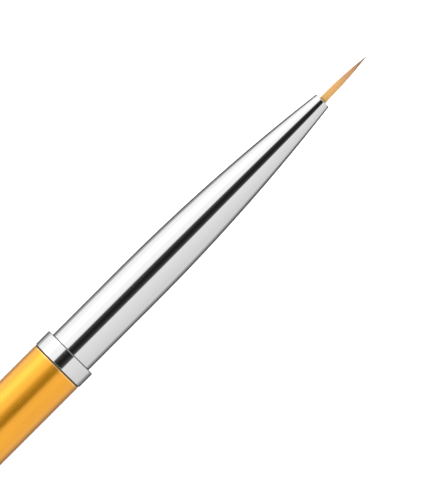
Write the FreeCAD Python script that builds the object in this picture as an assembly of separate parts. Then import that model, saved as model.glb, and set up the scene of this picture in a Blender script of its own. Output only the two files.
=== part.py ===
import FreeCAD, Part
import math
import os

# Fine detail brush with a pull-off head. The head plugs into the hollow handle, and
# turned round it goes into the same mouth with its tuft inside.
# Millimetres. The brush lies along X with its tuft towards +X, and +Z is up.
# The origin is under the middle of the brush, on the surface that it lies on.

V = FreeCAD.Vector

# ---- handle ----
handle_d = 8.0              # outside of the anodised tube
tube_length = 96.0
tube_wall = 0.34            # drawn aluminium
tube_edge_radius = 0.14     # rolled edge at both ends of the tube
liner_wall = 0.28           # nylon sleeve that grips the head
liner_length = 17.0
liner_recess = 0.30         # the liner starts this far inside the mouth
liner_lead_in = 0.10        # bevel that guides the spigot in
plug_cap_length = 3.45      # part of the end plug that shows
plug_dome_height = 1.2      # how far its end face bulges
plug_edge_radius = 0.8
plug_insert_length = 7.0
plug_shoulder_bevel = 0.10  # where its cap meets the tube
vent_d = 1.2                # lets air out as the head goes in

# ---- fits ----
push_clearance = 0.02       # radial, liner to spigot or nose seat
bond_gap = 0.01             # radial, between pieces that are pressed or glued
hair_gap = 0.015            # radial, hairs to the inside of their ferrule

# ---- collar and spigot ----
collar_stand = 0.075        # how far the collar stands out past the handle
collar_length = 2.7
collar_edge_radius = 0.08
spigot_length = 14.0
spigot_bore_d = 4.4         # drilled out from behind to keep it light
spigot_bore_depth = 11.0
spigot_end_radius = 0.5
spigot_groove_width = 0.7   # two air grooves round the spigot
spigot_groove_depth = 0.15
spigot_groove_pitch = 2.4
stub_length = 9.0           # the spigot's front stub, inside the nose
stub_bevel = 0.4

# ---- nose ----
nose_seat_length = 12.5     # straight stretch next to the collar
ogive_length = 35.0         # curved stretch up to the tip
shell_wall = 0.45
tip_wall = 0.425            # flat ring of metal round the ferrule at the tip
tip_edge_radius = 0.10
seat_edge_radius = 0.06     # rear edge of the nose, against the collar

# ---- ferrule and its holder ----
ferrule_wall = 0.22
ferrule_length = 16.0
ferrule_flange_d = 2.5
ferrule_flange_thickness = 0.4
holder_front_wall = 0.45

# ---- tuft ----
tuft_d = 1.03               # across the hairs where they leave the nose
tuft_length = 8.35
tuft_tip_d = 0.04
tuft_taper_power = 2.2      # radius falls as (1 - u**2.2)**0.9 from mouth to tip
tuft_round_power = 0.9
tuft_gap = 0.06             # rigid tuft to the nose's end face
root_recess = 0.02          # glued hairs stop this far inside the mouth
root_length = 11.0
binding_length = 2.6
thread_d = 0.20             # flattened turns of thread
glue_length = 4.0

# ---- sizes that follow ----
handle_r = handle_d / 2
tube_inner_r = handle_r - tube_wall
liner_outer_r = tube_inner_r - bond_gap
liner_inner_r = liner_outer_r - liner_wall
seat_r = liner_inner_r - push_clearance
collar_r = handle_r + collar_stand
shell_inner_r = seat_r - shell_wall
stub_r = shell_inner_r - bond_gap
tuft_r = tuft_d / 2
ferrule_inner_r = tuft_r + hair_gap
ferrule_outer_r = ferrule_inner_r + ferrule_wall
tip_bore_r = ferrule_outer_r + bond_gap
tip_r = tip_bore_r + tip_wall
nose_length = nose_seat_length + ogive_length

# The ogive is one arc, tangent to the seat and passing through the tip's edge.
ogive_drop = seat_r - tip_r
ogive_r = (ogive_length ** 2 + ogive_drop ** 2) / (2 * ogive_drop)

# ---- stations along X ----
overall_length = plug_cap_length + tube_length + collar_length + nose_length + tuft_length
rear_x = -overall_length / 2
tube_rear_x = rear_x + plug_cap_length
mouth_x = tube_rear_x + tube_length
collar_front_x = mouth_x + collar_length
ogive_x = collar_front_x + nose_seat_length
tip_x = ogive_x + ogive_length
axis_z = collar_r


def turned(outline, start, end, bore_r=0):
    """Solid turned about the brush's axis. The outline runs from start to end as edges
    in (x, radius), and closes straight down to the axis, or to a bore, and along it."""
    edges = list(outline)
    if end.y > bore_r:
        edges.append(Part.LineSegment(end, V(end.x, bore_r, 0)).toShape())
    edges.append(Part.LineSegment(V(end.x, bore_r, 0), V(start.x, bore_r, 0)).toShape())
    if start.y > bore_r:
        edges.append(Part.LineSegment(V(start.x, bore_r, 0), start).toShape())
    wire = Part.Wire(Part.__sortEdges__(edges))
    solid = Part.Face(wire).revolve(V(0, 0, 0), V(1, 0, 0), 360)
    if solid.Volume < 0:
        solid.reverse()
    return solid


def stepped(points):
    """Solid turned from straight runs between (x, radius) points."""
    corners = [V(x, r, 0) for x, r in points]
    runs = [Part.LineSegment(a, b).toShape() for a, b in zip(corners, corners[1:])]
    return turned(runs, corners[0], corners[-1])


def rod(x_from, x_to, radius):
    """Plain cylinder on the brush's axis."""
    return Part.makeCylinder(radius, x_to - x_from, V(x_from, 0, 0), V(1, 0, 0))


def sleeve(x_from, x_to, outer_r, inner_r):
    """Plain tube on the brush's axis."""
    return rod(x_from, x_to, outer_r).cut(rod(x_from, x_to, inner_r))


def edges_at(solid, x, radius):
    """The round edges at one station and radius, for a fillet or a bevel."""
    found = []
    for edge in solid.Edges:
        box = edge.BoundBox
        flat = box.XLength < 1e-4 and abs(box.XMin - x) < 1e-4
        if flat and abs(box.ZMax - radius) < 1e-4:
            found.append(edge)
    return found


def rounded(solid, x, radius, fillet):
    """Rounds the edge at one station and radius."""
    return solid.makeFillet(fillet, edges_at(solid, x, radius))


def bevelled(solid, x, radius, size):
    """Bevels the edge at one station and radius."""
    return solid.makeChamfer(size, edges_at(solid, x, radius))


def ogive_radius(x, inset):
    """Radius of the nose's curve at x, for a surface that lies inset inside it."""
    centre = seat_r - ogive_r
    return centre + math.sqrt((ogive_r - inset) ** 2 - (x - ogive_x) ** 2)


def ogive_station(radius, inset):
    """Where along X the curve that lies inset inside the nose has this radius."""
    centre = seat_r - ogive_r
    return ogive_x + math.sqrt((ogive_r - inset) ** 2 - (radius - centre) ** 2)


def ogive_solid(x_from, x_to, inset):
    """Solid under the nose's curve between two stations, the seat's straight part too."""
    straight_to = max(x_from, ogive_x)
    start = V(x_from, ogive_radius(straight_to, inset), 0)
    join = V(straight_to, start.y, 0)
    middle_x = (straight_to + x_to) / 2
    middle = V(middle_x, ogive_radius(middle_x, inset), 0)
    end = V(x_to, ogive_radius(x_to, inset), 0)
    outline = []
    if straight_to > x_from:
        outline.append(Part.LineSegment(start, join).toShape())
    outline.append(Part.Arc(join, middle, end).toShape())
    return turned(outline, start, end)


def handle_tube():
    tube = sleeve(tube_rear_x, mouth_x, handle_r, tube_inner_r)
    tube = rounded(tube, mouth_x, handle_r, tube_edge_radius)
    return rounded(tube, tube_rear_x, handle_r, tube_edge_radius)


def mouth_liner():
    front_x = mouth_x - liner_recess
    liner = sleeve(front_x - liner_length, front_x, liner_outer_r, liner_inner_r)
    return bevelled(liner, front_x, liner_inner_r, liner_lead_in)


def end_plug():
    """Turned plug: a domed cap as wide as the handle, and an insert behind its shoulder."""
    insert_x = tube_rear_x + plug_insert_length
    insert_r = tube_inner_r - bond_gap
    vent_r = vent_d / 2
    dome_r = (handle_r ** 2 + plug_dome_height ** 2) / (2 * plug_dome_height)
    dome = []
    for radius in (vent_r, handle_r / 2, handle_r):
        dome.append(V(rear_x + dome_r - math.sqrt(dome_r ** 2 - radius ** 2), radius, 0))
    bevel_start = V(tube_rear_x - plug_shoulder_bevel, handle_r, 0)
    shoulder = V(tube_rear_x, handle_r - plug_shoulder_bevel, 0)
    outline = [
        Part.Arc(dome[0], dome[1], dome[2]).toShape(),
        Part.LineSegment(dome[2], bevel_start).toShape(),
        Part.LineSegment(bevel_start, shoulder).toShape(),
        Part.LineSegment(shoulder, V(tube_rear_x, insert_r, 0)).toShape(),
        Part.LineSegment(V(tube_rear_x, insert_r, 0), V(insert_x, insert_r, 0)).toShape(),
    ]
    plug = turned(outline, dome[0], V(insert_x, insert_r, 0), vent_r)
    return rounded(plug, dome[2].x, handle_r, plug_edge_radius)


def collar_ring():
    ring = sleeve(mouth_x, collar_front_x, collar_r, stub_r + bond_gap)
    ring = rounded(ring, collar_front_x, collar_r, collar_edge_radius)
    return rounded(ring, mouth_x, collar_r, collar_edge_radius)


def rear_spigot():
    """One turned piece: a front stub in the nose, and the spigot that fills the liner."""
    rear = mouth_x - spigot_length
    front = collar_front_x + stub_length
    spigot = stepped([(rear, seat_r), (mouth_x, seat_r), (mouth_x, stub_r), (front, stub_r)])
    spigot = rounded(spigot, rear, seat_r, spigot_end_radius)
    spigot = bevelled(spigot, front, stub_r, stub_bevel)
    middle = mouth_x - spigot_length / 2
    for side in (-1, 1):
        start = middle + side * spigot_groove_pitch / 2 - spigot_groove_width / 2
        bottom_r = seat_r - spigot_groove_depth
        spigot = spigot.cut(sleeve(start, start + spigot_groove_width, seat_r + 1, bottom_r))
    return spigot.cut(rod(rear - 1, rear + spigot_bore_depth, spigot_bore_d / 2))


def nose_shell():
    """Ogive shell with a flat tip, bored through for the ferrule and open behind."""
    front = ogive_station(ferrule_outer_r + holder_front_wall, shell_wall)
    shell = ogive_solid(collar_front_x, tip_x, 0)
    shell = rounded(shell, tip_x, tip_r, tip_edge_radius)
    shell = rounded(shell, collar_front_x, seat_r, seat_edge_radius)
    shell = shell.cut(ogive_solid(collar_front_x - 1, front, shell_wall))
    return shell.cut(rod(front - 1, tip_x + 1, tip_bore_r))


def ferrule_holder():
    """Moulded cone that fills the front of the nose and keeps the ferrule central."""
    inset = shell_wall + bond_gap
    front = ogive_station(ferrule_outer_r + holder_front_wall, shell_wall)
    rear = tip_x - ferrule_length
    holder = ogive_solid(rear, front, inset)
    return holder.cut(rod(rear - 1, front + 1, ferrule_outer_r + bond_gap))


def inner_ferrule():
    """Thin tube round the hairs, with a flange behind its holder."""
    rear = tip_x - ferrule_length
    ferrule = stepped([
        (rear - ferrule_flange_thickness, ferrule_flange_d / 2),
        (rear, ferrule_flange_d / 2),
        (rear, ferrule_outer_r),
        (tip_x, ferrule_outer_r),
    ])
    return ferrule.cut(rod(rear - 1, tip_x + 1, ferrule_inner_r))


def tuft_root():
    """The glued ends of the hairs, drawn in where the thread binds them."""
    front = tip_x - root_recess
    rear = tip_x - root_length
    waist_x = rear + binding_length
    waist_r = tuft_r - thread_d / 2
    return stepped([(rear, waist_r), (waist_x, waist_r), (waist_x, tuft_r), (front, tuft_r)])


def tuft_binding():
    """Thread wound round the hairs: turns side by side, flattened against each other."""
    rear = tip_x - root_length
    waist_r = tuft_r - thread_d / 2
    turns = round(binding_length / thread_d)
    pitch = binding_length / turns
    valley_r = tuft_r - thread_d / 4
    outline = []
    for turn in range(turns):
        left = rear + turn * pitch
        crest = V(left + pitch / 2, tuft_r, 0)
        outline.append(Part.Arc(V(left, valley_r, 0), crest, V(left + pitch, valley_r, 0)).toShape())
    end = V(rear + binding_length, valley_r, 0)
    winding = turned(outline, V(rear, valley_r, 0), end)
    return winding.cut(rod(rear - 1, rear + binding_length + 1, waist_r))


def root_glue():
    rear = tip_x - root_length
    return rod(rear - glue_length, rear, ferrule_inner_r - bond_gap)


def tuft():
    """The free hairs as one pointed body with a ball-shaped root at the flex axis."""
    pivot_x = tip_x + tuft_gap + tuft_r
    reach = tip_x + tuft_length - pivot_x
    samples = 9
    points = []
    for index in range(samples + 1):
        x = pivot_x + reach * math.sin(math.pi / 2 * index / samples)
        u = (x - tip_x) / tuft_length
        start_u = (pivot_x - tip_x) / tuft_length
        share = (1 - u ** tuft_taper_power) ** tuft_round_power if u < 1 else 0
        full = (1 - start_u ** tuft_taper_power) ** tuft_round_power
        radius = tuft_tip_d / 2 + (tuft_r - tuft_tip_d / 2) * share / full
        points.append(V(x, radius, 0))
    curve = Part.BSplineCurve()
    curve.interpolate(points)
    slant = math.radians(45)
    rear = V(pivot_x - tuft_r, 0, 0)
    ball = Part.Arc(rear, V(pivot_x - tuft_r * math.cos(slant), tuft_r * math.sin(slant), 0), points[0])
    return turned([ball.toShape(), curve.toShape()], rear, points[-1])


pieces = {
    "handle_tube": handle_tube(),
    "mouth_liner": mouth_liner(),
    "end_plug": end_plug(),
    "collar_ring": collar_ring(),
    "rear_spigot": rear_spigot(),
    "nose_shell": nose_shell(),
    "ferrule_holder": ferrule_holder(),
    "inner_ferrule": inner_ferrule(),
    "tuft_root": tuft_root(),
    "tuft_binding": tuft_binding(),
    "root_glue": root_glue(),
    "tuft": tuft(),
}

os.makedirs("parts", exist_ok=True)
for name, shape in pieces.items():
    shape.translate(V(0, 0, axis_z))
    shape.exportStep("parts/" + name + ".step")
    box = shape.BoundBox
    print(
        "%-15s solids %d valid %s volume %9.3f mm3  x %8.3f %8.3f  z %6.3f %6.3f"
        % (name, len(shape.Solids), shape.isValid(), shape.Volume, box.XMin, box.XMax, box.ZMin, box.ZMax)
    )
print("overall length %.2f, ogive arc radius %.1f, seat diameter %.3f, tip diameter %.3f"
      % (overall_length, ogive_r, 2 * seat_r, 2 * tip_r))
print("stations: mouth %.3f, collar front %.3f, ogive %.3f, tip %.3f, flex axis %.3f"
      % (mouth_x, collar_front_x, ogive_x, tip_x, tip_x + tuft_gap + tuft_r))
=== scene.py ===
import math

import bpy
import numpy as np
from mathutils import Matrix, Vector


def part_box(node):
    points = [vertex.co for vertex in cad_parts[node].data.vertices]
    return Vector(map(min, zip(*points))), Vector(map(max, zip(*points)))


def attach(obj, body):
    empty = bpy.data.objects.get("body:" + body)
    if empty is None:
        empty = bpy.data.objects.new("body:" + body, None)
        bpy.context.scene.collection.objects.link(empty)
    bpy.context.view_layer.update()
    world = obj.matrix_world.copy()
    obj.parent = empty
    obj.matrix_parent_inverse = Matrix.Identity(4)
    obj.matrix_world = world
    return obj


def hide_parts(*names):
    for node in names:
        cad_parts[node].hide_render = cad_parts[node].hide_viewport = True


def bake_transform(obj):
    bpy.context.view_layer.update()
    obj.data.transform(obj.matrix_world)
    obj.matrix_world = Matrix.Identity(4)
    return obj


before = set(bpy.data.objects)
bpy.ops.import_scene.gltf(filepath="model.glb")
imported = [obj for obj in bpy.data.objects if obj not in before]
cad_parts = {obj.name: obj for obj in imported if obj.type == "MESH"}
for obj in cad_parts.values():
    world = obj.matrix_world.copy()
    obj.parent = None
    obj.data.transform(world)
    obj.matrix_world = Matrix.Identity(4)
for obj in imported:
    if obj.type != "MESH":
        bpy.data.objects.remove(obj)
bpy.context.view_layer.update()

# Fine detail brush: gold tube handle, chromed collar and bullet nose, pointed hair tuft.
# It lies along X with its tuft towards +X. Sizes in the dictionaries are millimetres.
mm = 0.001
scene = bpy.context.scene

tubeLow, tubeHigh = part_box("handle_tube")
collarLow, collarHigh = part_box("collar_ring")
noseLow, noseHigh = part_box("nose_shell")
linerLow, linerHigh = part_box("mouth_liner")
spigotLow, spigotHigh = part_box("rear_spigot")

axisZ = (collarLow.z + collarHigh.z) / 2 / mm
rearX = tubeLow.x / mm
mouthX = tubeHigh.x / mm
collarX = noseLow.x / mm
tipX = noseHigh.x / mm
handleR = (tubeHigh.z - tubeLow.z) / 2 / mm
collarR = (collarHigh.z - collarLow.z) / 2 / mm
seatR = (noseHigh.z - noseLow.z) / 2 / mm
linerR = (linerHigh.z - linerLow.z) / 2 / mm


# Arc of the given radius that touches both lines meeting at a corner:
# centre + radius * direction, the direction turned evenly from one side to the other.
def roundCorner(before, corner, after, radius, steps):
    inward = (corner - before) / np.linalg.norm(corner - before)
    onward = (after - corner) / np.linalg.norm(after - corner)
    turn = math.atan2(inward[0] * onward[1] - inward[1] * onward[0], inward @ onward)
    start = corner - inward * radius * math.tan(abs(turn) / 2)
    side = math.copysign(1.0, turn)
    centre = start + side * radius * np.array([-inward[1], inward[0]])
    angles = np.linspace(0, turn, steps + 1)[:, None]
    cos, sin = np.cos(angles), np.sin(angles)
    spoke = start - centre
    points = centre + spoke * cos + np.array([-spoke[1], spoke[0]]) * sin
    headings = inward * cos + np.array([-inward[1], inward[0]]) * sin
    return points, np.stack([-headings[:, 1], headings[:, 0]], axis=1)


# Profile in (x, radius) with outward normals. Each corner (x, r, fillet) becomes a small arc,
# and a curve is given as ready rows of (x, r, normal x, normal r).
def outline(parts, closed=True, steps=8):
    rowsOf = [np.atleast_2d(np.array(part, float)) for part in parts]
    points, normals = [], []
    for i, rows in enumerate(rowsOf):
        if rows.shape[1] == 4:
            points.append(rows[:, :2])
            normals.append(rows[:, 2:])
            continue
        corner = rows[0, :2]
        before = rowsOf[i - 1][-1, :2]
        after = rowsOf[(i + 1) % len(rowsOf)][0, :2]
        if not closed and i in (0, len(rowsOf) - 1):
            run = after - corner if i == 0 else corner - before
            points.append(corner[None])
            normals.append(np.array([[-run[1], run[0]]]) / np.linalg.norm(run))
            continue
        arc, outward = roundCorner(before, corner, after, rows[0, 2], steps)
        points.append(arc)
        normals.append(outward)
    return np.concatenate(points), np.concatenate(normals)


# Cuts each straight run between two profile points evenly, so that no face is very long.
def cutRuns(points, normals, longest):
    gaps = np.linalg.norm(np.diff(points, axis=0), axis=1)
    pieces = np.maximum(1, np.ceil(gaps / longest)).astype(int)
    run = np.repeat(np.arange(len(gaps)), pieces)
    first = np.repeat(np.cumsum(pieces) - pieces, pieces)
    share = ((np.arange(len(run)) - first + 1) / pieces[run])[:, None]
    newPoints = points[run] + (points[run + 1] - points[run]) * share
    newNormals = normals[run] + (normals[run + 1] - normals[run]) * share
    newNormals /= np.linalg.norm(newNormals, axis=1)[:, None]
    return np.concatenate([points[:1], newPoints]), np.concatenate([normals[:1], newNormals])


# Turned surface: the profile point (x, r) goes to (x, r sin a, r cos a) at evenly spaced angles a
# about the brush's axis. Its normals are worked out too, so a mirror finish shows no facets.
def turnedPiece(name, profile, closed=True, around=256, longest=3.0):
    points, normals = cutRuns(*profile, longest)
    angle = np.linspace(0, 2 * math.pi, around, endpoint=False)
    ring = np.stack([np.ones(around), np.sin(angle), np.cos(angle)], axis=1)
    co = points[:, None, [0, 1, 1]] * ring
    co[..., 2] += axisZ
    no = normals[:, None, [0, 1, 1]] * ring
    count = len(points)
    here = np.arange(around)
    there = (here + 1) % around
    low = np.arange(count if closed else count - 1)[:, None] * around
    high = (low + around) % (count * around)
    faces = np.stack([low + here, high + here, high + there, low + there], axis=-1)
    faces = faces.reshape(-1, 4).tolist()
    if not closed:
        faces += [here.tolist(), ((count - 1) * around + here[::-1]).tolist()]
    mesh = bpy.data.meshes.new(name)
    mesh.from_pydata((co.reshape(-1, 3) * mm).tolist(), [], faces)
    mesh.polygons.foreach_set("use_smooth", np.ones(len(mesh.polygons), bool))
    mesh.normals_split_custom_set_from_vertices(no.reshape(-1, 3).tolist())
    piece = bpy.data.objects.new(name, mesh)
    scene.collection.objects.link(piece)
    return piece


# Puts a finished piece on its body, in its material, in place of its CAD nodes.
def finishPiece(piece, body, material, slotName, *nodes):
    piece.data.materials.clear()
    piece.data.materials.append(material)
    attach(piece, body)
    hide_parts(*nodes)


# Short ways to add and link shader nodes.
class NodeMaker:
    def __init__(self, tree):
        self.tree = tree

    def add(self, kind, **values):
        node = self.tree.nodes.new(kind)
        for key, value in values.items():
            setattr(node, key, value)
        return node

    def plug(self, value, socket):
        if isinstance(value, bpy.types.NodeSocket):
            self.tree.links.new(value, socket)
        elif isinstance(value, tuple) and len(value) == 3 and socket.type == "RGBA":
            socket.default_value = (*value, 1.0)
        else:
            socket.default_value = value

    # straight-line change of range, held at its ends
    def remap(self, value, low, high, newLow, newHigh, smooth=False):
        node = self.add("ShaderNodeMapRange", interpolation_type="SMOOTHSTEP" if smooth else "LINEAR")
        sockets = ("From Min", "From Max", "To Min", "To Max")
        for key, number in zip(sockets, (low, high, newLow, newHigh)):
            node.inputs[key].default_value = number
        self.plug(value, node.inputs["Value"])
        return node.outputs["Result"]

    def math(self, operation, a, b=0.0):
        node = self.add("ShaderNodeMath", operation=operation)
        self.plug(a, node.inputs[0])
        self.plug(b, node.inputs[1])
        return node.outputs[0]

    # colour a where the factor is 0, colour b where it is 1
    def mix(self, factor, a, b):
        node = self.add("ShaderNodeMix", data_type="RGBA")
        colours = [s for s in node.inputs if s.type == "RGBA"]
        self.plug(factor, node.inputs["Factor"])
        self.plug(a, colours[0])
        self.plug(b, colours[1])
        return [s for s in node.outputs if s.type == "RGBA"][0]

    # stops are (position, colour)
    def ramp(self, value, stops, easing="LINEAR"):
        node = self.add("ShaderNodeValToRGB")
        node.color_ramp.interpolation = easing
        while len(node.color_ramp.elements) < len(stops):
            node.color_ramp.elements.new(0.5)
        for stop, (where, colour) in zip(node.color_ramp.elements, stops):
            stop.position = where
            stop.color = (*colour, 1.0)
        self.plug(value, node.inputs["Fac"])
        return node.outputs["Color"]


class Finish(NodeMaker):
    def __init__(self, name):
        self.material = bpy.data.materials.new(name)
        self.material.use_nodes = True
        super().__init__(self.material.node_tree)
        self.shader = self.tree.nodes["Principled BSDF"]
        self.place = self.add("ShaderNodeTexCoord").outputs["Object"]

    # values of the shader's own sockets, spaces in their names written as _
    def set(self, **values):
        for key, value in values.items():
            self.plug(value, self.shader.inputs[key.replace("_", " ")])

    # noise with its own number of features per metre along each axis
    def noise(self, stretch, detail=4.0, roughness=0.55, distortion=0.0, shift=(0, 0, 0)):
        mapping = self.add("ShaderNodeMapping")
        mapping.inputs["Scale"].default_value = stretch
        mapping.inputs["Location"].default_value = shift
        self.plug(self.place, mapping.inputs["Vector"])
        noise = self.add("ShaderNodeTexNoise")
        settings = dict(Scale=1.0, Detail=detail, Roughness=roughness, Distortion=distortion)
        for key, value in settings.items():
            noise.inputs[key].default_value = value
        self.plug(mapping.outputs["Vector"], noise.inputs["Vector"])
        return noise.outputs["Fac"]

    def position(self, axis):
        split = self.add("ShaderNodeSeparateXYZ")
        self.plug(self.place, split.inputs[0])
        return split.outputs[axis]

    def attribute(self, name):
        node = self.add("ShaderNodeAttribute", attribute_type="GEOMETRY", attribute_name=name)
        return node.outputs["Fac"]

    # adds height layers, each (value, height in micrometres), into one bump
    def bump(self, *layers):
        total = 0.0
        for value, height in layers:
            total = self.math("ADD", self.math("MULTIPLY", value, height * 1e-6), total)
        node = self.add("ShaderNodeBump")
        node.inputs["Strength"].default_value = 1.0
        node.inputs["Distance"].default_value = 1.0
        self.plug(total, node.inputs["Height"])
        self.set(Normal=node.outputs["Normal"])


# Bright plate: a mirror with faint polishing rings round the axis, hairline scuffs and handling haze,
# and painted shade, a dark rough colour, in the parting line behind the collar and the corner in front of
# it.
def chromeFinish(name, look):
    f = Finish(name)
    f.set(Metallic=1.0, Specular_Tint=look["edge"])
    haze = f.noise((90, 260, 260), detail=5)
    scuffs = f.remap(f.noise((5000, 900, 900), detail=2, distortion=0.4), 0.66, 0.74, 0.0, 1.0)
    cloudy = f.remap(haze, 0.35, 0.75, look["roughness"], look["roughness"] + look["haze"])
    where = f.position("X")
    # painted shade: a band over the parting line behind the collar, dark where light would be trapped
    parting = f.math("MULTIPLY", f.math("GREATER_THAN", where, (mouthX - 0.01) * mm),
                     f.math("LESS_THAN", where, (mouthX + collarShape["partingWidth"]) * mm))
    # painted shade: a narrow band at the corner where the nose meets the collar
    corner = f.remap(f.math("ABSOLUTE", f.math("SUBTRACT", where, (collarX + 0.02) * mm)),
                     look["cornerShadeWidth"] / 2 * mm, look["cornerShadeWidth"] * mm, look["cornerShade"], 0.0)
    paintedSeamShade = f.math("MAXIMUM", parting, corner)
    rough = f.math("ADD", cloudy, f.math("MULTIPLY", scuffs, look["scuff"]))
    f.set(Roughness=f.math("ADD", rough, f.math("MULTIPLY", paintedSeamShade, look["seamShadeRoughness"])))
    plate = f.mix(f.remap(haze, 0.3, 0.7, 0.0, 1.0), look["colour"], look["worn"])
    # the painted shade darkens the plate's colour in the parting line and at the corner
    f.set(Base_Color=f.mix(paintedSeamShade, plate, look["seamShadeColour"]))
    f.bump((f.noise((9000, 120, 120), detail=3), look["rings"]), (haze, look["wave"]))
    return f.material


# Gold anodised aluminium, brushed along the tube: long fine streaks in colour, gloss and height.
# Its rolled ends are rubbed down to paler metal.
def goldFinish(name, look):
    f = Finish(name)
    f.set(Metallic=look["metallic"], Coat_Weight=look["coat"], Coat_Roughness=look["coatRoughness"],
          Coat_IOR=1.5, Specular_Tint=look["edge"])
    streaks = f.noise((60, 6500, 6500), detail=5, roughness=0.65)
    patches = f.noise((140, 420, 420), detail=4, shift=(3, 1, 2))
    specks = f.noise((700, 3800, 3800), detail=2, distortion=0.6, shift=(1, 5, 2))
    nicks = f.remap(specks, 0.70, 0.76, 0.0, 1.0)
    both = f.math("ADD", f.math("MULTIPLY", streaks, 0.7), f.math("MULTIPLY", patches, 0.3))
    base = f.mix(f.remap(both, 0.35, 0.65, 0.0, 1.0), look["deep"], look["light"])
    where = f.position("X")
    fromMouth = f.remap(where, (mouthX - look["rubbed"]) * mm, (mouthX - look["rubFull"]) * mm,
                        0.0, 1.0, True)
    fromRear = f.remap(where, (rearX + look["rubFull"]) * mm, (rearX + look["rubbed"]) * mm,
                       1.0, 0.0, True)
    rub = f.math("MULTIPLY", f.math("ADD", fromMouth, fromRear),
                 f.remap(f.noise((900, 1500, 1500), detail=4, shift=(7, 2, 4)), 0.3, 0.65, 0.35, 1.0))
    wear = f.math("MINIMUM", f.math("ADD", f.math("MULTIPLY", nicks, look["nicks"]), rub), 1.0)
    f.set(Base_Color=f.mix(wear, base, look["bare"]))
    rough = f.remap(streaks, 0.3, 0.7, look["roughness"] - look["swing"], look["roughness"] + look["swing"])
    f.set(Roughness=f.math("ADD", rough, f.remap(patches, 0.4, 0.7, 0.0, look["swing"])))
    f.bump((streaks, look["streakHeight"]), (nicks, look["streakHeight"]))
    return f.material


# Turned and plated metal with visible tool rings.
def turnedFinish(name, look):
    f = Finish(name)
    f.set(Metallic=1.0)
    rings = f.noise((26000, 200, 200), detail=3, roughness=0.7)
    cloud = f.noise((400, 500, 500), detail=4)
    f.set(Base_Color=f.mix(f.remap(cloud, 0.3, 0.7, 0.0, 1.0), look["colour"], look["worn"]))
    f.set(Roughness=f.remap(rings, 0.3, 0.7, look["roughness"] - 0.05, look["roughness"] + 0.08))
    f.bump((rings, look["rings"]))
    return f.material


# Moulded plastic, thread or glue with a fine grain.
def grainFinish(name, look):
    f = Finish(name)
    grain = f.noise((14000, 14000, 14000), detail=3)
    cloud = f.noise((500, 500, 500), detail=3)
    f.set(Base_Color=f.mix(f.remap(cloud, 0.3, 0.7, 0.0, 1.0), look["colour"], look["worn"]))
    f.set(Roughness=f.remap(grain, 0.3, 0.7, look["roughness"] - 0.05, look["roughness"] + 0.05))
    f.bump((grain, look["grain"]))
    return f.material


# Fine hair: golden root, redder belly and dark point along each hair, and each hair
# a little darker by its own shade.
def hairFinish(name, look):
    f = Finish(name)
    f.set(Specular_IOR_Level=look["gloss"], Sheen_Weight=look["sheen"], Sheen_Roughness=0.4)
    along = f.attribute("alongHair")
    shade = f.attribute("hairShade")
    pale = f.ramp(along, look["stops"], "EASE")
    deep = f.ramp(along, [(where, tuple(c * s for c, s in zip(colour, look["shadow"])))
                          for where, colour in look["stops"]], "EASE")
    f.set(Base_Color=f.mix(shade, pale, deep))
    f.set(Roughness=f.remap(shade, 0.0, 1.0, look["roughness"] - 0.06, look["roughness"] + 0.06))
    return f.material


studioLook = dict(
    floorHalf=4000, floorColour=(0.86, 0.86, 0.86), paleGlow=0.5,
    glowNear=1.85, glowFar=1.30, glowSpread=12, shadeHalf=4.5, clearHalf=15, shadeLeft=0.1,
    shadeEnd=84, clearEnd=100, endLight=1.35, endStart=0.40, endFull=0.85,
    # degrees from straight up, towards +Y, and brightness
    dome=[(-180, 1.2), (-92, 1.29), (-76.6, 1.345), (-62.7, 1.39), (-45.9, 1.43), (-34.3, 1.475),
          (-20, 1.53), (20, 1.67), (34.3, 1.81), (50, 1.86), (60, 2.75), (78, 2.75), (90, 1.86),
          (180, 1.86)],
    # degrees either side of the gap's middle, and how much of the dome's light is left there
    gap=[(0, 0.0135), (5.6, 0.018), (8.5, 0.029), (13, 0.050), (18.5, 0.085), (23.5, 1.0)],
    # direction along the brush, and there: how narrow the gap is, its shift in degrees towards -Y,
    # and how closed it is
    gapShape=[(-0.36, 5, 9, 1), (-0.14, 2.8, 9, 0), (-0.02, 1, 0, 0), (0.10, 1, 0, 0),
              (0.25, 0.8, 0, 0), (0.28, 0.8, 0, 0), (0.42, 3, 0, 1)],
)
cameraLook = dict(lens=1200.0, frameHeight=64.27, behindTip=23.57, aside=2.916, turn=45.0)


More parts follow.
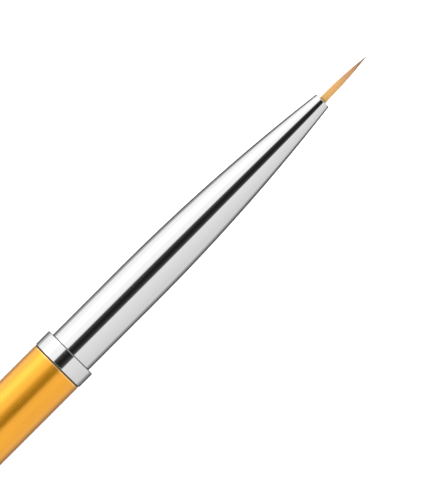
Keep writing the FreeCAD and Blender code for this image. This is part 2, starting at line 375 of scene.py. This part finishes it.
# Pale floor, and a soft dome of light whose brightness depends on the angle about the brush's
# axis: a narrow dark gap overhead, a brighter side towards +Y and a plainer one towards -Y.
def buildStudio(look):
    half = look["floorHalf"] * mm
    floorMesh = bpy.data.meshes.new("studioFloor")
    corners = [(-half, -half, 0), (half, -half, 0), (half, half, 0), (-half, half, 0)]
    floorMesh.from_pydata(corners, [], [(0, 1, 2, 3)])
    floor = bpy.data.objects.new("studioFloor", floorMesh)
    scene.collection.objects.link(floor)
    f = Finish("paleFloor")
    f.set(Roughness=0.6, Specular_IOR_Level=0.0, Emission_Color=(1.0, 1.0, 1.0))
    # seen straight on the floor is plain and pale; in reflections it carries the brush's soft shade
    seen = f.add("ShaderNodeLightPath").outputs["Is Camera Ray"]
    spread = look["glowSpread"] * mm
    across = f.position("Y")
    glow = f.remap(across, -spread, spread, look["glowFar"], look["glowNear"], True)
    beside = f.remap(f.math("ABSOLUTE", across), look["shadeHalf"] * mm, look["clearHalf"] * mm,
                     look["shadeLeft"], 1.0)
    beyond = f.remap(f.math("ABSOLUTE", f.position("X")), look["shadeEnd"] * mm, look["clearEnd"] * mm,
                     0.0, 1.0)
    reflected = f.math("MULTIPLY", glow, f.math("MAXIMUM", beside, beyond))
    f.set(Base_Color=f.mix(seen, (0.0, 0.0, 0.0), look["floorColour"]))
    f.set(Emission_Strength=f.math("ADD", f.math("MULTIPLY", seen, look["paleGlow"]),
                                   f.math("MULTIPLY", f.math("SUBTRACT", 1.0, seen), reflected)))
    floorMesh.materials.append(f.material)

    world = bpy.data.worlds.new("softStudio")
    scene.world = world
    world.use_nodes = True
    world.node_tree.nodes.clear()
    w = NodeMaker(world.node_tree)
    split = w.add("ShaderNodeSeparateXYZ")
    w.plug(w.add("ShaderNodeTexCoord").outputs["Generated"], split.inputs[0])
    angle = w.math("ARCTAN2", split.outputs["Y"], split.outputs["Z"])
    peak = max(level for degrees, level in look["dome"])
    stops = [(degrees / 360 + 0.5, (level / peak,) * 3) for degrees, level in look["dome"]]
    dome = w.ramp(w.remap(angle, -math.pi, math.pi, 0.0, 1.0), stops)
    # the gap is a little wider over the brush's point, and closes further along both ways
    along = split.outputs["X"]
    narrowest = max(row[1] for row in look["gapShape"])
    farthest = max(row[2] for row in look["gapShape"])
    shape = w.add("ShaderNodeSeparateColor")
    w.plug(w.ramp(w.remap(along, -0.5, 0.5, 0.0, 1.0),
                  [(where + 0.5, (narrow / narrowest, shift / farthest, closed))
                   for where, narrow, shift, closed in look["gapShape"]], "EASE"), shape.inputs[0])
    shift = w.math("MULTIPLY", shape.outputs[1], math.radians(farthest))
    narrow = w.math("MULTIPLY", shape.outputs[0], narrowest)
    aside = w.math("MULTIPLY", w.math("ABSOLUTE", w.math("ADD", angle, shift)), narrow)
    gap = w.ramp(w.remap(aside, 0.0, math.pi, 0.0, 1.0),
                 [(degrees / 180, (left,) * 3) for degrees, left in look["gap"]])
    overhead = w.math("MULTIPLY", dome, w.math("MAXIMUM", gap, shape.outputs[2]))
    # beyond both ends of the brush the light is plain
    endwise = w.remap(w.math("ABSOLUTE", along), look["endStart"], look["endFull"], 0.0, 1.0, True)
    light = w.mix(endwise, overhead, (look["endLight"] / peak,) * 3)
    background = w.add("ShaderNodeBackground")
    w.plug(light, background.inputs["Color"])
    background.inputs["Strength"].default_value = peak
    w.plug(background.outputs[0], w.add("ShaderNodeOutputWorld").inputs["Surface"])


# Very long lens straight above the brush, turned so that the axis runs to the upper right.
def buildCamera(look):
    lens = bpy.data.cameras.new("camera")
    lens.lens = look["lens"]
    lens.sensor_width = 36.0
    lens.clip_start = 0.01
    lens.clip_end = 50.0
    camera = bpy.data.objects.new("camera", lens)
    scene.collection.objects.link(camera)
    distance = look["frameHeight"] * look["lens"] / lens.sensor_width
    camera.location = ((tipX - look["behindTip"]) * mm, -look["aside"] * mm, (axisZ + distance) * mm)
    camera.rotation_euler = (0, 0, math.radians(-look["turn"]))
    scene.camera = camera


scene.view_settings.view_transform = "Standard"
scene.view_settings.look = "None"
buildCamera(cameraLook)
buildStudio(studioLook)
print("studio and camera ready")


tubeShape = dict(wall=0.34, edge=0.10, innerEdge=0.04, lip=0.06)
noseShape = dict(tipR=1.185, tipEdge=0.10, seatLength=12.5, seatEdge=0.10, boreR=0.775, shellWall=0.45,
                 boreDepth=3.6, flareLength=0.4, flareRise=0.5, insideBlend=0.5, curveSteps=160)
collarShape = dict(frontEdge=0.08, rearEdge=0.03, partingWidth=0.24, partingDepth=0.13, lipRoom=0.07,
                   boreR=2.9, hubGap=0.03)
chromeLook = dict(colour=(0.50, 0.50, 0.503), worn=(0.488, 0.488, 0.488), edge=(0.42, 0.42, 0.43),
                  # the next four values are the painted shade's colour, added roughness, strength at the
                  # corner and the corner band's width
                  seamShadeColour=(0.09, 0.06, 0.035), seamShadeRoughness=0.5, cornerShade=0.4, cornerShadeWidth=0.10,
                  roughness=0.04, haze=0.03, scuff=0.05, rings=0.05, wave=0.4)


# One circular arc, tangent to the straight seat, down to the tip's radius:
# radius at x is seat - R + square root of (R squared - (x - start) squared).
def noseCurve(shape):
    start = collarX + shape["seatLength"]
    length = tipX - start
    drop = seatR - shape["tipR"]
    curveR = (length ** 2 + drop ** 2) / (2 * drop)
    x = np.linspace(start, tipX - shape["tipEdge"] * 1.2, shape["curveSteps"])
    slope = (x - start) / curveR
    r = seatR - curveR + np.sqrt(curveR ** 2 - (x - start) ** 2)
    return np.stack([x, r, slope, np.sqrt(1 - slope ** 2)], axis=1)


# Shell with a bore for the ferrule, opening behind it to the shell's inside.
def buildNose(shape, material):
    inner = seatR - shape["shellWall"]
    back = tipX - shape["boreDepth"]
    profile = outline([
        (collarX, seatR, shape["seatEdge"]),
        noseCurve(shape),
        (tipX, shape["tipR"], shape["tipEdge"]),
        (tipX, shape["boreR"], 0.03),
        (back, shape["boreR"], 0.03),
        (back - shape["flareLength"], shape["boreR"] + shape["flareRise"], 0.05),
        (collarX + shape["seatLength"], inner, shape["insideBlend"]),
        (collarX, inner, 0.03),
    ])
    finishPiece(turnedPiece("noseShell", profile), "head", material, "chrome_plate", "nose_shell")


# Plain ring with small rounded edges, relieved behind so that a fine parting line shows; the chrome finish
# paints shade into it.
def buildCollar(shape, material):
    relief = mouthX + shape["partingWidth"]
    lip = mouthX + shape["lipRoom"]
    low = collarR - shape["partingDepth"]
    hub = handleR - tubeShape["wall"] - shape["hubGap"]
    profile = outline([
        (relief, collarR, shape["rearEdge"]),
        (collarX, collarR, shape["frontEdge"]),
        (collarX, shape["boreR"], 0.03),
        (mouthX, shape["boreR"], 0.03),
        (mouthX, hub, 0.02),
        (lip, hub, 0.01),
        (lip, low, 0.01),
        (relief, low, 0.01),
    ])
    finishPiece(turnedPiece("collarRing", profile), "head", material, "chrome_plate", "collar_ring")


chrome = chromeFinish("chromePlate", chromeLook)
buildNose(noseShape, chrome)
buildCollar(collarShape, chrome)
print("nose and collar ready")


plugShape = dict(capLength=3.45, dome=1.2, edge=0.8, ventR=0.6, ventEdge=0.12, bevel=0.10,
                 insert=7.0, insertEdge=0.2, gap=0.01, domeShare=0.75, domeSteps=60)
goldLook = dict(deep=(0.61, 0.255, 0.0025), light=(0.69, 0.295, 0.005), bare=(0.72, 0.44, 0.13),
                edge=(0.55, 0.45, 0.30), metallic=0.88, roughness=0.29, coat=0.7, coatRoughness=0.2,
                swing=0.03, nicks=0.3, streakHeight=0.5, rubbed=0.26, rubFull=0.05)


# Drawn tube with rolled edges at both ends. Its lip reaches a little way into the parting line.
def buildTube(shape, material):
    inner = handleR - shape["wall"]
    lip = mouthX + shape["lip"]
    profile = outline([
        (rearX, handleR, shape["edge"]),
        (lip, handleR, shape["edge"]),
        (lip, inner, shape["innerEdge"]),
        (rearX, inner, shape["innerEdge"]),
    ])
    finishPiece(turnedPiece("handleTube", profile), "handle", material, "gold_anodised", "handle_tube")


# Domed cap, a slice of a sphere with a rounded edge, a vent through it and an insert in the tube.
# The dome's x at radius r is pole + D - square root of (D squared - r squared).
def buildPlug(shape, material):
    pole = rearX - shape["capLength"]
    domeR = (handleR ** 2 + shape["dome"] ** 2) / (2 * shape["dome"])
    domeEnd = handleR - shape["edge"] * shape["domeShare"]
    r = np.linspace(shape["ventR"] + shape["ventEdge"], domeEnd, shape["domeSteps"])
    x = pole + domeR - np.sqrt(domeR ** 2 - r ** 2)
    across = r / domeR
    dome = np.stack([x, r, -np.sqrt(1 - across ** 2), across], axis=1)
    insertR = handleR - tubeShape["wall"] - shape["gap"]
    profile = outline([
        dome,
        (pole + shape["dome"], handleR, shape["edge"]),
        (rearX - shape["bevel"], handleR, 0.03),
        (rearX, handleR - shape["bevel"], 0.03),
        (rearX, insertR, 0.04),
        (rearX + shape["insert"], insertR, shape["insertEdge"]),
        (rearX + shape["insert"], shape["ventR"], 0.05),
        (pole + shape["ventEdge"], shape["ventR"], 0.08),
    ])
    finishPiece(turnedPiece("endPlug", profile), "handle", material, "chrome_plate", "end_plug")


gold = goldFinish("goldAnodised", goldLook)
buildTube(tubeShape, gold)
buildPlug(plugShape, chrome)
print("handle ready")


spigotShape = dict(endEdge=0.5, boreR=2.2, boreDepth=11.0, grooveWidth=0.7, grooveDepth=0.15,
                   groovePitch=2.4, grooveLip=0.04, grooveFoot=0.05, stubGap=0.01, stubBevel=0.4)
linerShape = dict(wall=0.28, leadIn=0.10)
nickelLook = dict(colour=(0.50, 0.48, 0.44), worn=(0.56, 0.54, 0.50), roughness=0.22, rings=0.3)
linerLook = dict(colour=(0.018, 0.018, 0.020), worn=(0.03, 0.03, 0.032), roughness=0.45, grain=1.0)


# Spigot with two air grooves, a blind bore behind and a stub inside the nose.
def buildSpigot(shape, material):
    rear, front = spigotLow.x / mm, spigotHigh.x / mm
    bottom = rear + shape["boreDepth"]
    stubR = collarShape["boreR"] - shape["stubGap"]
    lip, foot = shape["grooveLip"], shape["grooveFoot"]
    middle = (rear + mouthX) / 2
    corners = [(bottom, 0.05, 0), (bottom, shape["boreR"], 0.1), (rear, shape["boreR"], 0.1),
               (rear, seatR, shape["endEdge"])]
    for side in (-1, 1):
        left = middle + side * shape["groovePitch"] / 2 - shape["grooveWidth"] / 2
        right = left + shape["grooveWidth"]
        low = seatR - shape["grooveDepth"]
        corners += [(left, seatR, lip), (left, low, foot), (right, low, foot), (right, seatR, lip)]
    corners += [(mouthX, seatR, lip), (mouthX, stubR, lip), (front - shape["stubBevel"], stubR, foot),
                (front, stubR - shape["stubBevel"], foot), (front, 0.05, 0)]
    piece = turnedPiece("rearSpigot", outline(corners, closed=False), closed=False)
    finishPiece(piece, "head", material, "spigot_nickel", "rear_spigot")


# Thin sleeve with a bevelled mouth.
def buildLiner(shape, material):
    rear, front = linerLow.x / mm, linerHigh.x / mm
    inner = linerR - shape["wall"]
    profile = outline([
        (rear, linerR, 0.03),
        (front, linerR, 0.03),
        (front, inner + shape["leadIn"], 0.02),
        (front - shape["leadIn"], inner, 0.04),
        (rear, inner, 0.03),
    ])
    finishPiece(turnedPiece("mouthLiner", profile), "handle", material, "liner_nylon", "mouth_liner")


buildSpigot(spigotShape, turnedFinish("turnedNickel", nickelLook))
buildLiner(linerShape, grainFinish("linerNylon", linerLook))
print("spigot and liner ready")


tuftShape = dict(baseR=0.53, pointR=0.045, length=8.35, hairs=320, rimDensity=3.0, hairR=0.028,
                 tipR=0.015, rings=22, sides=6, taper=2.4, roundness=1.15, root=0.02, stray=0.012,
                 lean=0.035, leanRate=8, turnScatter=0.02, rimShort=0.10, anyShort=0.03,
                 pointHairs=24, pointSpread=0.01, toneBias=1.5, bendShare=1.15, seed=7)
hairLook = dict(
    stops=[(0.0, (0.67, 0.42, 0.125)), (0.30, (0.66, 0.385, 0.130)), (0.60, (0.54, 0.300, 0.140)),
           (0.85, (0.31, 0.180, 0.105)), (1.0, (0.16, 0.105, 0.085))],
    shadow=(0.80, 0.70, 0.60), roughness=0.42, gloss=0.5, sheen=0.2)


# Outer radius of the tuft at share u of its length: point + (base - point) * (1 - u^taper)^roundness.
def tuftRadius(u, shape):
    fall = (1 - np.clip(u, 0, 1) ** shape["taper"]) ** shape["roundness"]
    return shape["pointR"] + (shape["baseR"] - shape["pointR"]) * fall


# Hairs packed in a sunflower pattern at the mouth, with a full ring of them at its rim. Each keeps its
# angle and its share of the tuft's radius, so they draw together to the point, and each thins to its
# own end. A hair is a tube of few sides: ring k, side j is at centre(k) + radius(k) * (0, sin j, cos j).
def buildTuft(shape, material):
    rng = np.random.default_rng(shape["seed"])
    count, rings, sides = shape["hairs"], shape["rings"], shape["sides"]
    index = np.arange(count)
    rim = round(shape["rimDensity"] * math.sqrt(count))
    share = np.minimum(np.sqrt((index + 0.5) / (count - (rim + 1) / 2)), 1.0)
    angle = index * math.pi * (3 - math.sqrt(5)) + rng.normal(0, shape["turnScatter"], count)
    rimShort = shape["rimShort"] * share ** 3
    reach = 1.0 - rimShort * rng.random(count) - shape["anyShort"] * rng.random(count)
    # the innermost hairs run right to the point
    reach[:shape["pointHairs"]] = np.linspace(1.0, 1 - shape["pointSpread"], shape["pointHairs"])
    along = np.linspace(0, 1, rings)[None, :]
    u = along * reach[:, None]
    tube = shape["hairR"] * (1 - along ** 3) + shape["tipR"] + np.zeros((count, 1))
    wander = rng.normal(0, 1, (count, 2))
    sway = shape["stray"] * np.sin(math.pi * u) * u
    room = np.maximum(tuftRadius(u, shape) - tube, 0)
    lean = shape["lean"] * np.clip(u * shape["leanRate"], 0, 1)
    y = share[:, None] * room * np.sin(angle)[:, None] + wander[:, :1] * sway + lean
    z = share[:, None] * room * np.cos(angle)[:, None] + wander[:, 1:] * sway
    x = tipX - shape["root"] + u * (shape["length"] + shape["root"])
    around = np.linspace(0, 2 * math.pi, sides, endpoint=False)
    co = np.empty((count, rings, sides, 3))
    co[..., 0] = x[:, :, None]
    co[..., 1] = y[:, :, None] + tube[:, :, None] * np.sin(around)
    co[..., 2] = axisZ + z[:, :, None] + tube[:, :, None] * np.cos(around)
    here = np.arange(sides)
    there = (here + 1) % sides
    low = (np.arange(count)[:, None, None] * rings + np.arange(rings - 1)[None, :, None]) * sides
    quads = np.stack([low + here, low + sides + here, low + sides + there, low + there], axis=-1)
    rootCap = np.arange(count)[:, None] * rings * sides + here
    endCap = rootCap[:, ::-1] + (rings - 1) * sides
    mesh = bpy.data.meshes.new("hairTuft")
    faces = quads.reshape(-1, 4).tolist() + rootCap.tolist() + endCap.tolist()
    mesh.from_pydata((co.reshape(-1, 3) * mm).tolist(), [], faces)
    mesh.polygons.foreach_set("use_smooth", np.ones(len(mesh.polygons), bool))
    tone = rng.random(count) ** shape["toneBias"]
    for name, values in (("alongHair", np.repeat(u[:, :, None], sides, axis=2)),
                         ("hairShade", np.repeat(tone, rings * sides))):
        layer = mesh.attributes.new(name, "FLOAT", "POINT")
        layer.data.foreach_set("value", values.astype(np.float32).ravel())
    mesh.materials.append(material)
    tuft = bpy.data.objects.new("hairTuft", mesh)
    scene.collection.objects.link(tuft)
    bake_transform(tuft)
    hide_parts("tuft")


buildTuft(tuftShape, hairFinish("fineHair", hairLook))
print("tuft ready")


# CAD pieces whose shape stays
ferruleLook = dict(colour=(0.62, 0.60, 0.55), worn=(0.66, 0.64, 0.60), roughness=0.25, rings=0.3)
holderLook = dict(colour=(0.62, 0.60, 0.54), worn=(0.68, 0.66, 0.60), roughness=0.5, grain=1.0)
threadLook = dict(colour=(0.70, 0.67, 0.58), worn=(0.78, 0.75, 0.68), roughness=0.7, grain=2.0)
glueLook = dict(colour=(0.60, 0.40, 0.14), worn=(0.66, 0.46, 0.18), roughness=0.2, grain=0.3)
rootLook = dict(colour=(0.55, 0.32, 0.12), worn=(0.72, 0.44, 0.18), roughness=0.5, grain=3.0)
kept = dict(
    inner_ferrule=turnedFinish("drawnNickel", ferruleLook),
    ferrule_holder=grainFinish("holderPlastic", holderLook),
    tuft_binding=grainFinish("waxedThread", threadLook),
    root_glue=grainFinish("setGlue", glueLook),
    tuft_root=grainFinish("gluedHair", rootLook),
)
for nodeName, material in kept.items():
    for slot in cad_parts[nodeName].material_slots:
        slot.material = material
print("inner pieces ready")
